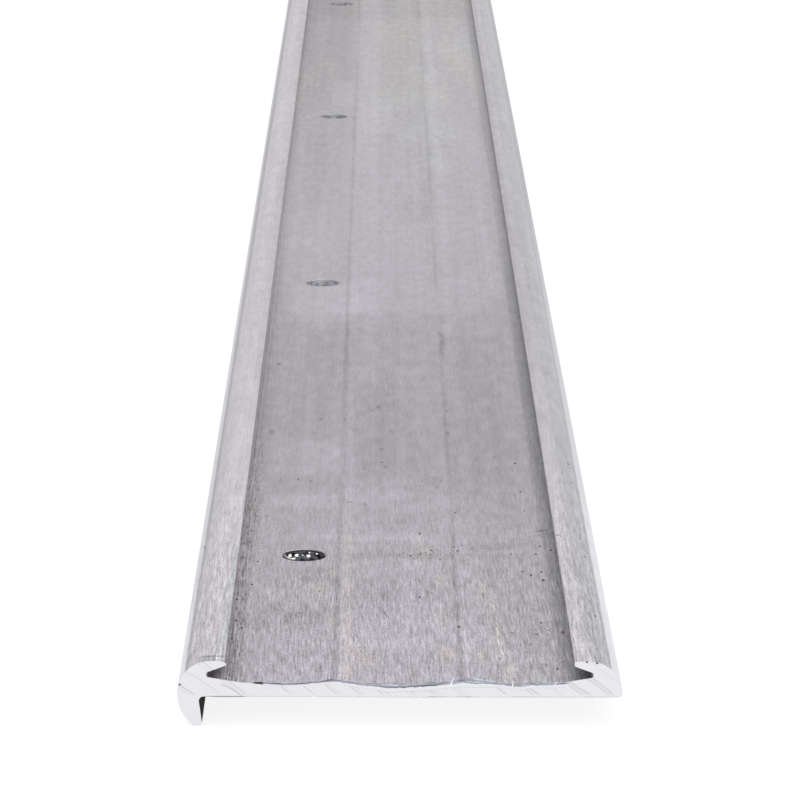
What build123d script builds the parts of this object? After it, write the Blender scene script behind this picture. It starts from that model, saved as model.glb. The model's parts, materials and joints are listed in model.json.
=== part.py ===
"""Trim extrusion in mill aluminium: a flat web between two round-backed rims.

The rims turn inwards as lips over tapered grooves, so that a flexible strip can be pressed in
between them and cover the screws. A short claw-shaped leg under the left rim hooks over the edge
of whatever the web is screwed to. One row of punched screw holes runs beside that rim.

The bar lies along Y with its channel upwards and its leg on the -X side. The origin is at the
middle of the length and width, at the level of the leg's tip. All sizes are in millimetres.
"""

import os

from build123d import *

# Driving sizes of the bar and its web
stock_length = 1219.2
overall_width = 44.45
web_thickness = 1.45

# Rims, whose backs are quarter rounds above a small foot
rim_foot_radius = 0.35
lip_length = 1.475
lip_tip_thickness = 0.5
lip_root_thickness = 1.2
lip_tip_radius = 0.2

# Grooves under the lips, which hold the edges of the strip
groove_depth = 1.9
groove_root_gap = 0.46
groove_root_radius = 0.2
groove_floor_length = 3.5
groove_floor_rise = 0.59
groove_floor_radius = 6.0

# Leg under the left rim
leg_drop = 3.05
leg_root_thickness = 2.1
leg_tip_thickness = 0.9
leg_tip_inset = 1.6
leg_tip_radius = 0.3
leg_root_radius = 0.45

# Punched screw holes, with the flat left between the groove's floor and their rolled edge
hole_diameter = 4.76
hole_pitch = 152.4
hole_rolled_edge = 0.25
hole_to_groove_floor = 2.745
first_hole_to_end = 48.7

# Places in the section, with X across from the middle and Y up from the web's underside
half_width = overall_width / 2
groove_root_foot = web_thickness + groove_floor_rise
groove_root_top = groove_root_foot + groove_root_gap
rim_height = groove_root_top + lip_root_thickness
rim_radius = rim_height - rim_foot_radius
rim_centre = (half_width - rim_radius, rim_foot_radius)
rim_foot_centre = (half_width - rim_foot_radius, rim_foot_radius)
lip_tip_x = half_width - rim_radius - lip_length
groove_root_x = lip_tip_x + groove_depth
groove_floor_end_x = groove_root_x - groove_floor_length
right_groove = [
    (rim_centre[0], rim_height),
    (lip_tip_x, rim_height),
    (lip_tip_x, rim_height - lip_tip_thickness),
    (groove_root_x, groove_root_top),
    (groove_root_x, groove_root_foot),
    (groove_floor_end_x, web_thickness),
]
left_groove = [(-x, y) for x, y in reversed(right_groove)]
groove_radii = 2 * [lip_tip_radius] + 2 * [groove_root_radius] + [groove_floor_radius]
leg_root_x = -half_width + leg_root_thickness
leg_tip_outer_x = -half_width + leg_tip_inset
leg_tip_inner_x = leg_tip_outer_x + leg_tip_thickness

# Places along the bar, where a hole stays a diameter or more away from the far end
hole_radius = hole_diameter / 2
hole_x = -groove_floor_end_x + hole_to_groove_floor + hole_rolled_edge + hole_radius
first_hole_y = -stock_length / 2 + first_hole_to_end
hole_count = int((stock_length - first_hole_to_end - hole_diameter) // hole_pitch) + 1
hole_places = [(hole_x, first_hole_y + index * hole_pitch) for index in range(hole_count)]

section_plane = Plane(origin=(0, 0, leg_drop), x_dir=(1, 0, 0), z_dir=(0, -1, 0))
web_top_plane = Plane.XY.offset(leg_drop + web_thickness)

with BuildPart() as profile:
    with BuildSketch(section_plane) as section:
        with BuildLine():
            # Across the top, from one rim's crown over its lip and groove to the other's
            FilletPolyline(*right_groove, *left_groove, radius=groove_radii + groove_radii[::-1])
            CenterArc(rim_centre, rim_radius, start_angle=0, arc_size=90)
            CenterArc((-rim_centre[0], rim_centre[1]), rim_radius, start_angle=90, arc_size=90)

            # The right-hand foot, the underside and the leg's inner face and tip
            rim_foot = CenterArc(rim_foot_centre, rim_foot_radius, start_angle=270, arc_size=90)
            leg_inside = FilletPolyline(
                rim_foot @ 0,
                (leg_root_x, 0),
                (leg_tip_inner_x, -leg_drop),
                (leg_tip_outer_x, -leg_drop),
                radius=[leg_root_radius, leg_tip_radius],
            )

            # The leg's back carries on from the left rim's round
            TangentArc((-half_width, rim_foot_radius), leg_inside @ 1, tangent=(0, -1))
        make_face()
        leg_point = section.vertices().sort_by_distance((leg_tip_outer_x, -leg_drop))[0]
        fillet(leg_point, leg_tip_radius)
    extrude(amount=stock_length / 2, both=True)

    # The punch enters from the channel side and rolls the upper edge of each hole over
    with Locations(web_top_plane):
        with Locations(*hole_places):
            Hole(radius=hole_radius, depth=web_thickness)
    hole_edges = profile.edges().filter_by(GeomType.CIRCLE).filter_by(Plane.XY)
    fillet(hole_edges.group_by(Axis.Z)[-1], hole_rolled_edge)

profile.part.label = "profile"
os.makedirs("parts", exist_ok=True)
export_step(profile.part, "parts/profile.step")
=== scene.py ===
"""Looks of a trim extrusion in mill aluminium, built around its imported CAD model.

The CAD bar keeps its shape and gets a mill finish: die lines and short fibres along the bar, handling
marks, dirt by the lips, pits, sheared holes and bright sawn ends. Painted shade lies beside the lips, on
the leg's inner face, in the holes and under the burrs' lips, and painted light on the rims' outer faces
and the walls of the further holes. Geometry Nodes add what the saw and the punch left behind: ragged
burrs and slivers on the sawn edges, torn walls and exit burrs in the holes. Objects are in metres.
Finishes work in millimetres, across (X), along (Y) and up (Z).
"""

import json
import math
from functools import partial, reduce

import bpy
from bpy.props import FloatProperty, FloatVectorProperty, IntProperty, PointerProperty
from mathutils import Matrix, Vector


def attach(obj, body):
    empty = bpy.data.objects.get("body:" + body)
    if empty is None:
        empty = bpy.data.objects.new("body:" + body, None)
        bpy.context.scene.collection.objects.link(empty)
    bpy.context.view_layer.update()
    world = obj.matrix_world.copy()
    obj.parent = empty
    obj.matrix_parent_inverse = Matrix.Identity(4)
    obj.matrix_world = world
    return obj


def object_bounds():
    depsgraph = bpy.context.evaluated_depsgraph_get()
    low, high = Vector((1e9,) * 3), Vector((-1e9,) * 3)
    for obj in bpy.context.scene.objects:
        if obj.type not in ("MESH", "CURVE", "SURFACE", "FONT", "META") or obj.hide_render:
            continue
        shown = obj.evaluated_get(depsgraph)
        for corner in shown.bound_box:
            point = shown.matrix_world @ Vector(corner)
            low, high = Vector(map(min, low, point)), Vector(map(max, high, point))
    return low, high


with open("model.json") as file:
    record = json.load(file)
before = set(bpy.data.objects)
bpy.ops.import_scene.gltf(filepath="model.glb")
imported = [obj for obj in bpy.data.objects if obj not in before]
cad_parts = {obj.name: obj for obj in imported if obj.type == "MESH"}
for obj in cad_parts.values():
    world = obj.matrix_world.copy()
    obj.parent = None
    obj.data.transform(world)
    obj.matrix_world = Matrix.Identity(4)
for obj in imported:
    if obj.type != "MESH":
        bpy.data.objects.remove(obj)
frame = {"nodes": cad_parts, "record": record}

bl_info = {
    "name": "Trim Bar Looks",
    "version": (1, 0, 0),
    "blender": (4, 5, 0),
    "location": "3D View > Sidebar > Trim Bar",
    "description": "Finish, saw burrs, punched holes and stage of an aluminium trim bar",
    "category": "Object",
}

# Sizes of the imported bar, in metres
CAD_BOX = [list(corner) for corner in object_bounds()]
NEAR_END = CAD_BOX[0][1]
FAR_END = CAD_BOX[1][1]
RECORD = frame["record"]
SCREW_PAIRS = [mount for mount in RECORD["mounts"] if mount["kind"] == "bolt_pattern"]
CHANNEL = next(mount for mount in RECORD["mounts"] if mount["kind"] == "slide")
HOLE_RADIUS = SCREW_PAIRS[0]["dims"]["hole_r_mm"] / 1000
HOLE_PITCH = SCREW_PAIRS[0]["dims"]["spacing_y_mm"] / 1000
HOLE_X = SCREW_PAIRS[0]["pos_m"][0]
HOLE_YS = [pair["pos_m"][1] + side * HOLE_PITCH / 2 for pair in SCREW_PAIRS for side in (-1, 1)]
WEB_BOTTOM = SCREW_PAIRS[0]["pos_m"][2]
WEB_TOP = CHANNEL["pos_m"][2]
LIP_X = RECORD["physics"]["openings"][0]["box_m"][1][0]

MM = 1000
BODY = "root"


# Node trees

class Field:
    """A socket whose value varies over a surface, with arithmetic that adds Math nodes."""

    def __init__(self, socket):
        self.socket = socket

    def __add__(self, other):
        return calculate("ADD", self, other)

    def __sub__(self, other):
        return calculate("SUBTRACT", self, other)

    def __rsub__(self, other):
        return calculate("SUBTRACT", other, self)

    def __mul__(self, other):
        return calculate("MULTIPLY", self, other)

    def __truediv__(self, other):
        return calculate("DIVIDE", self, other)

    def __mod__(self, other):
        return calculate("FLOORED_MODULO", self, other)

    def __abs__(self):
        return calculate("ABSOLUTE", self)

    def __gt__(self, other):
        return calculate("GREATER_THAN", self, other)

    def __lt__(self, other):
        return calculate("LESS_THAN", self, other)

    __radd__ = __add__
    __rmul__ = __mul__


def calculate(operation, *operands):
    """Adds one Math node to the operands' tree and returns its result."""
    tree = next(operand.socket.id_data for operand in operands if isinstance(operand, Field))
    node = tree.nodes.new("ShaderNodeMath")
    node.operation = operation
    for socket, operand in zip(node.inputs, operands):
        connect(socket, operand)
    return Field(node.outputs[0])


def connect(socket, value):
    """Links a field to a socket, or sets the socket to a plain value; a colour gets full alpha."""
    if isinstance(value, Field):
        socket.id_data.links.new(value.socket, socket)
    elif socket.type == "RGBA":
        socket.default_value = (*value, 1)
    else:
        socket.default_value = value


def most(*values):
    """The largest of some values."""
    return reduce(partial(calculate, "MAXIMUM"), values)


def least(*values):
    """The smallest of some values."""
    return reduce(partial(calculate, "MINIMUM"), values)


def apart(value, middle, size):
    """How far a value is from a middle, counted in sizes."""
    return calculate("MULTIPLY_ADD", value, 1 / size, -middle / size)


def pick(sockets, key):
    """Finds a socket by its place, or by its name among those in use."""
    if isinstance(key, int):
        return sockets[key]
    return next(socket for socket in sockets if socket.enabled and socket.name == key)


class Nodes:
    """A node tree that is being filled."""

    def __init__(self, tree):
        self.tree = tree
        tree.nodes.clear()

    def add(self, kind, settings=None, sockets=None, output=0):
        """Adds a node, sets it up, fills its sockets and returns the output that is asked for."""
        node = self.tree.nodes.new(kind)
        for name, value in (settings or {}).items():
            setattr(node, name, value)
        for key, value in (sockets or {}).items():
            connect(pick(node.inputs, key), value)
        return Field(pick(node.outputs, output)) if node.outputs else None

    def split(self, vector):
        """The three parts of a vector."""
        first = self.add("ShaderNodeSeparateXYZ", None, {0: vector})
        return [Field(socket) for socket in first.socket.node.outputs]

    def join(self, x, y, z):
        """A vector from its three parts."""
        return self.add("ShaderNodeCombineXYZ", None, {0: x, 1: y, 2: z})

    def grade(self, value, low, high):
        """0 at low and 1 at high, with a smooth change between them."""
        settings = {"interpolation_type": "SMOOTHSTEP", "clamp": False}
        return self.add("ShaderNodeMapRange", settings, {"Value": value, "From Min": low, "From Max": high})

    def within(self, value, low, high, soft):
        """1 between low and high, with soft edges."""
        rise = self.grade(value, low - soft, low + soft)
        return rise * (1 - self.grade(value, high - soft, high + soft))

    def noise(self, vector, detail=2, roughness=0.5):
        """Fractal noise about zero, with features as large as one unit of the vector."""
        sockets = {"Vector": vector, "Scale": 1, "Detail": detail, "Roughness": roughness}
        return self.add("ShaderNodeTexNoise", None, sockets) - 0.5

    def blend(self, factor, first, second):
        """A mix of two colours."""
        sockets = {"Factor": factor, "A": first, "B": second}
        return self.add("ShaderNodeMix", {"data_type": "RGBA"}, sockets, "Result")

    def tint(self, colour, amount):
        """A colour multiplied by a grey amount."""
        settings = {"data_type": "RGBA", "blend_type": "MULTIPLY"}
        grey = self.add("ShaderNodeCombineColor", None, {0: amount, 1: amount, 2: amount})
        return self.add("ShaderNodeMix", settings, {"Factor": 1, "A": colour, "B": grey}, "Result")


class Finish(Nodes):
    """A material that is being made, with its place on the bar in millimetres."""

    def __init__(self, name):
        self.material = bpy.data.materials.new(name)
        self.material.use_nodes = True
        super().__init__(self.material.node_tree)
        self.place = self.add("ShaderNodeTexCoord", None, None, "Object")
        self.across, self.along, self.up = self.split(self.scaled(MM, MM, MM))

    def scaled(self, x, y, z):
        """The place on the bar, scaled along its three axes."""
        return self.add("ShaderNodeMapping", None, {"Vector": self.place, "Scale": (x, y, z)})

    def facing(self):
        """Which way the surface looks."""
        return self.split(self.add("ShaderNodeNewGeometry", None, None, "Normal"))

    def drawn(self, width, length, detail=2, roughness=0.5, across=None):
        """Noise about zero, drawn out along the bar, with features of a width and a length."""
        if across is None:
            return self.noise(self.scaled(MM / width, MM / length, MM / width), detail, roughness)
        vector = self.join(across / width, self.along / length, self.up / width)
        return self.noise(vector, detail, roughness)

    def scatter(self, place, size, rarity):
        """Spots of mixed sizes, one in each unit cell of a flat pattern, 1 at their middles."""
        settings = {"voronoi_dimensions": "2D"}
        cell = self.add("ShaderNodeTexVoronoi", settings, {"Vector": place, "Scale": 1})
        chance = self.add("ShaderNodeSeparateColor", None, {0: Field(cell.socket.node.outputs["Color"])})
        reach = calculate("POWER", chance, rarity) * size + 0.0001
        return 1 - self.grade(cell / reach, 0.55, 1)

    def spots(self, width, length, size, rarity):
        """Scattered spots, one in each cell of a width and a length."""
        return self.scatter(self.scaled(MM / width, MM / length, 0), size, rarity)

    def finish(self, metal):
        """Ends the material in its metal surface."""
        shader = self.add("ShaderNodeBsdfPrincipled", None, metal)
        self.add("ShaderNodeOutputMaterial", None, {"Surface": shader})
        return self.material


# Settings

def colour_setting(name, value, description):
    """A setting that holds a colour."""
    return FloatVectorProperty(
        name=name, description=description, default=value, subtype="COLOR", min=0, max=1)


def length_setting(name, value, description, **limits):
    """A setting that holds a length in metres."""
    return FloatProperty(
        name=name, description=description, default=value, unit="LENGTH", precision=5, **limits)


class TrimFinishSettings(bpy.types.PropertyGroup):
    """Colours and grain of the mill finish."""

    web_colour: colour_setting("Web", (0.368, 0.341, 0.378), "Dull grey of the web between the lips")
    rim_colour: colour_setting("Rims", (0.525, 0.494, 0.535), "Lighter grey of the rims and lips")
    back_colour: colour_setting("Rim backs", (0.43, 0.424, 0.462), "Greyer rounds behind the lips")
    # Outer faces: a painted highlight for the reflection on the rims' outer faces, and the pale painted
    # light on the walls of the holes further along
    highlight_colour: colour_setting(
        "Outer faces", (0.75, 0.755, 0.805), "Bright outer faces of the rims, rubbed clean")
    sawn_colour: colour_setting("Sawn ends", (0.80, 0.80, 0.825), "Bright metal that the saw laid bare")
    # Hole walls: painted shade, near black for the shade under the bar that the walls reflect
    hole_wall_shade_colour: colour_setting(
        "Hole walls", (0.12, 0.125, 0.145), "Burnished metal on the punched walls")
    # Dirt: also the colour of the painted shade beside the lips, on the leg's inner face and on the holes'
    # rolled edges
    dirt_and_shade_colour: colour_setting(
        "Dirt", (0.03, 0.029, 0.031), "Grime beside the lips, in pits and in scratches")
    rust_colour: colour_setting(
        "Rust specks", (0.16, 0.05, 0.018), "Stray iron specks that have rusted on the bar")
    warm_colour: colour_setting(
        "Warm stain", (0.44, 0.40, 0.31), "Yellowish stain in smudges on the web")
    scratch_colour: colour_setting("Scratches", (0.86, 0.84, 0.76), "Pale scratches near the sawn end")
    grime_colour: colour_setting("Grime", (0.235, 0.208, 0.19), "Brownish film beside the left lip")
    # Cool haze: darkened, it is also the colour of the painted shade beside the lips
    cool_colour: colour_setting("Cool haze", (0.375, 0.38, 0.405), "Bluish haze in patches of the bar")
    fibre_width: length_setting(
        "Fibre width", 0.00018, "Width of the short fibres along the bar", min=0.00005)
    fibre_length: length_setting(
        "Fibre length", 0.0046, "Length of the short fibres along the bar", min=0.0005)
    roughness: FloatProperty(
        name="Roughness", description="Roughness of the clean web",
        default=0.46, subtype="FACTOR", min=0, max=1)


class TrimBurrSettings(bpy.types.PropertyGroup):
    """Sizes of the burrs that the saw left on the ends."""

    height: length_setting(
        "Burr height", 0.00062, "Height of the ribbon of smeared metal on the sawn edge", min=0.00005)
    thickness: length_setting(
        "Burr thickness", 0.00009, "Thickness of the ribbon of smeared metal", min=0.00001)
    rag_length: length_setting("Rag length", 0.0009, "Length of the rags along a burr", min=0.00005)
    lower_height: length_setting(
        "Lower burr height", 0.00011, "Height of the finer burr on the lower sawn edge", min=0.00001)
    sliver_length: length_setting(
        "Sliver length", 0.00085, "Length of the slivers that stand on the sawn edge", min=0.0001)
    colour: colour_setting("Burr", (0.37, 0.385, 0.44), "Bluish smeared metal of the burrs")
    lower_colour: colour_setting(
        "Lower burr", (0.6, 0.6, 0.62), "Paler metal of the burr on the lower edge")
    # Crease: painted shadow under the burr's lip and in its gaps
    crease_shadow_colour: colour_setting("Crease", (0.03, 0.035, 0.05), "Dark crease under the burr's lip")
    sliver_colour: colour_setting("Slivers", (0.98, 0.98, 0.99), "Bright metal of the slivers")
    seed: IntProperty(name="Seed", description="Choice of the burrs' random shapes", default=4, min=0)


class TrimHoleSettings(bpy.types.PropertyGroup):
    """Sizes of what the punch left in the holes."""

    tear_depth: length_setting("Tear depth", 0.00011, "How far the torn wall stands into a hole", min=0)
    tear_size: length_setting("Tear size", 0.00045, "Size of the tears on a hole's wall", min=0.00005)
    rolled_edge: length_setting(
        "Rolled edge", 0.00025, "Depth of the rolled upper edge, which stays smooth", min=0)
    skin: length_setting(
        "Wall skin", 0.00008, "Thickness of the torn skin on a hole's wall", min=0.00001)
    exit_burr: length_setting("Exit burr", 0.00014, "Height of the ragged burr under a hole", min=0)
    seed: IntProperty(name="Seed", description="Choice of the tears' random shapes", default=7, min=0)


class TrimStageSettings(bpy.types.PropertyGroup):
    """Camera, floor and light."""

    lens: FloatProperty(
        name="Lens", description="Focal length on a 36 mm sensor", default=189.5, unit="CAMERA", min=1)
    distance: length_setting("Distance", 0.40264, "Camera in front of the near end", min=0.01)
    height: length_setting("Height", 0.12355, "Camera above the web's underside")
    side: length_setting("Side", -0.00218, "Camera to the right of the bar's middle")
    pitch: FloatProperty(
        name="Pitch", description="How far the camera looks down",
        default=math.radians(13.025), subtype="ANGLE")
    yaw: FloatProperty(
        name="Yaw", description="How far the camera looks to the right",
        default=math.radians(0.297), subtype="ANGLE")
    roll: FloatProperty(
        name="Roll", description="How far the camera leans", default=math.radians(0.204), subtype="ANGLE")
    floor_size: FloatProperty(
        name="Floor size", description="Side of the square floor", default=60, unit="LENGTH", min=1)
    sky: FloatProperty(
        name="Sky", description="Strength of the even light from all round", default=0.78, min=0)
    key_power: FloatProperty(
        name="Key power", description="Power of the large lamp above the bar",
        default=5, unit="POWER", min=0)
    front_power: FloatProperty(
        name="Front power", description="Power of the lamp on the camera's side",
        default=2, unit="POWER", min=0)


# Finishes

# Levels of the web's two faces, and the lips' edges across, in millimetres
WEB_FOOT_MM = WEB_BOTTOM * MM
WEB_TOP_MM = WEB_TOP * MM
LIP_MM = LIP_X * MM

# Spacing along the sawn face of the pairs of tooth marks, and how much they slant, in millimetres
TOOTH_PITCH = 2.45
TOOTH_SLANT = 1.25

# How much the scratches near the sawn end slant, across for each millimetre along
SCRATCH_SLANT = 0.056

# Stray specks of iron that have rusted: across, from the near end and radius, in millimetres
RUST_SPECKS = ((6.2, 20.3, 0.2), (16.95, 17.6, 0.22), (-21.45, 48, 0.14))

# The largest pits: across, from the near end and radius, in millimetres
PITS = (
    (14.5, 40.6, 0.16), (15.75, 38.4, 0.18), (15.65, 41.8, 0.13), (12.6, 49.4, 0.13), (15.9, 52.5, 0.13),
    (2.25, 31.6, 0.15), (2.5, 58.2, 0.14), (14.9, 21.8, 0.13), (15.6, 19, 0.12), (15.5, 17.5, 0.12),
    (15.9, 4.9, 0.15), (14.9, 6.3, 0.1), (6.65, 67.7, 0.12), (14.3, 91.3, 0.16), (14.5, 77.5, 0.13),
    (14.6, 68.5, 0.13), (-17.25, 29.7, 0.16), (-17.25, 14.9, 0.15), (-15.85, 36.4, 0.15),
    (-16.4, 19.3, 0.14), (-15.5, 45.9, 0.12), (-8.5, 33.9, 0.12), (-10.7, 35.2, 0.1), (-10.5, 25.3, 0.09),
    (-1.8, 91.8, 0.14), (-11.75, 83.2, 0.12),
)

# Faint specks further along: across, from the near end and radius, in millimetres
FAINT_SPECKS = (
    (-15.5, 146.2, 0.24), (-15.5, 107.5, 0.26), (-0.66, 107.8, 0.22), (-2.2, 121.1, 0.3), (-3, 119.2, 0.24),
    (-13.8, 82.8, 0.17), (-10.2, 82.3, 0.2), (-6.4, 114.3, 0.2), (-9.5, 114.3, 0.18), (-1.8, 98.2, 0.2),
    (6.45, 119.1, 0.2), (6.4, 106.8, 0.22), (6.6, 101, 0.18), (-15.1, 65.8, 0.17), (-16.3, 68, 0.16),
    (-3.7, 71.3, 0.2), (4.8, 79.7, 0.17), (5.2, 82.4, 0.17), (3, 82.4, 0.18), (-3.9, 88.5, 0.2),
    (-1.4, 89.6, 0.2),
)

# Short scratches across the bar: across, from the near end, half length and how much narrower they are
CROSS_SCRATCHES = (
    (16.4, 59.2, 0.95, 0.3), (17.7, 49.2, 0.5, 0.5), (14.3, 17.5, 0.36, 0.9), (-5.4, 72.4, 0.6, 0.3),
)

# Fine scratches along the bar: across and from the near end, twice, and how much lighter they are
HAIR_SCRATCHES = (
    (-10.8, 33.1, -10.35, 27.3, -0.3), (-1.8, 27.4, -1, 23.4, -0.42), (-5.05, 17.2, -3.7, 10, -0.32),
    (-4.7, 17.6, -3.2, 10.6, -0.18), (-6.8, 19, -6.55, 15.7, -0.2), (-4.2, 11.9, -3.9, 9.9, 0.3),
    (2.8, 34.4, 4, 32.7, -0.32), (14, 18.1, 16.5, 15.9, -0.16), (1.1, 21, 1.5, 12, -0.16),
    (-12.4, 22, -12.1, 13, -0.16), (8, 30, 8.5, 21, -0.14), (-2.6, 40, -2.2, 31, 0.14),
)

# Specks in a row across the web: across, from the near end and radius, in millimetres
ROW_SPECKS = (
    (1.36, 48.4, 0.1495), (2.5, 49.3, 0.115), (3.04, 49.8, 0.115), (3.59, 48.9, 0.1495),
    (3.7, 50.9, 0.1265), (1.34, 50.7, 0.1035), (4.35, 51.1, 0.115), (6.31, 52.4, 0.161),
    (6.65, 50.6, 0.1725), (7.21, 53, 0.1265), (8.3, 51.7, 0.1265), (7.64, 45, 0.115),
    (4.64, 46.9, 0.115), (1.77, 47.2, 0.1035), (0.65, 47.9, 0.115),
)

# Yellowish stains: across, from the near end and radius, in millimetres
STAINS = (
    (-3.4, 8.5, 1.375), (4.7, 10.3, 1.125), (8.1, 9.6, 1), (-8.4, 35.9, 1), (-7.2, 41.6, 1.125),
    (-7.4, 23.4, 0.875), (-4.7, 11.5, 1.125), (2.6, 49.8, 1.5), (4.6, 38, 0.875), (4.6, 24, 1.25),
    (6.5, 158, 0.625), (6.45, 166, 0.5),
)

# Brownish smudges: across, from the near end and radius, in millimetres
SMUDGES = ((-15.5, 107.3, 0.42), (-15.5, 146.4, 0.42), (-2.5, 120, 0.42))

# Haze across the web: from the near end, half length, from and to across, and how much lighter it is
HAZE_MARKS = (
    (188, 12, -14.5, -5.5, 0.10), (194, 9, -6, 7.5, 0.05), (184, 5, -14.8, 7, 0.07),
    (173, 3.5, -13.8, -6.6, 0.05), (160, 7, 6.1, 6.8, -0.24), (150, 24, -6.9, -6.3, -0.08),
    (128, 50, -16.5, 16.5, -0.11), (112, 22, -5.2, 0.2, -0.09), (112, 50, 7, 13.5, -0.07),
    (95, 9, -15, -6.6, 0.09), (93, 8, -10.6, -6.6, 0.08), (87, 4, -5, 0.5, -0.05),
    (76, 3, -6.3, 0.8, 0.09), (73, 3, -14.8, -6.6, 0.12), (70, 6, 2.5, 6, 0.06),
    (65, 2.5, -5.2, 4.5, -0.08), (56.5, 1.5, -10.5, 4.6, 0.1), (52.5, 1.5, 6.8, 13, -0.1),
    (50, 1.6, -5.8, -0.5, -0.07), (48.3, 1.2, -5.5, 13.5, -0.1), (45, 1.8, 0.2, 4.6, 0.1),
    (40.5, 2.5, -10.6, -6.6, -0.12), (36, 3, 0.2, 4.5, -0.06), (34.5, 4.5, -5, 0.2, -0.1),
    (32.5, 3, -14.8, -8, 0.08), (27, 2.5, 7, 12.5, 0.07), (23.5, 3, 0, 4.6, 0.07),
    (23.5, 3, -15, -6.6, -0.1), (18, 6, -5.5, 7, 0.05), (6, 14, -15, 14, 0.06),
    (505, 22, -17, 17, -0.11), (378, 16, -11, -6.6, 0.13), (352, 16, -5, 0.5, 0.06),
    (298, 34, -15, -11, -0.07), (292, 34, 4.8, 13, -0.05), (258, 9, 0.5, 6, -0.07),
)

# Nicks on the near end's sawn face: across, up, half width and half height, in millimetres
END_NICKS = (
    (18.6, 6.7, 0.15, 0.12), (19.65, 6.6, 0.17, 0.12), (-21.95, 4.3, 0.12, 0.14), (6.85, 3.07, 0.5, 0.07),
)


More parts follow.
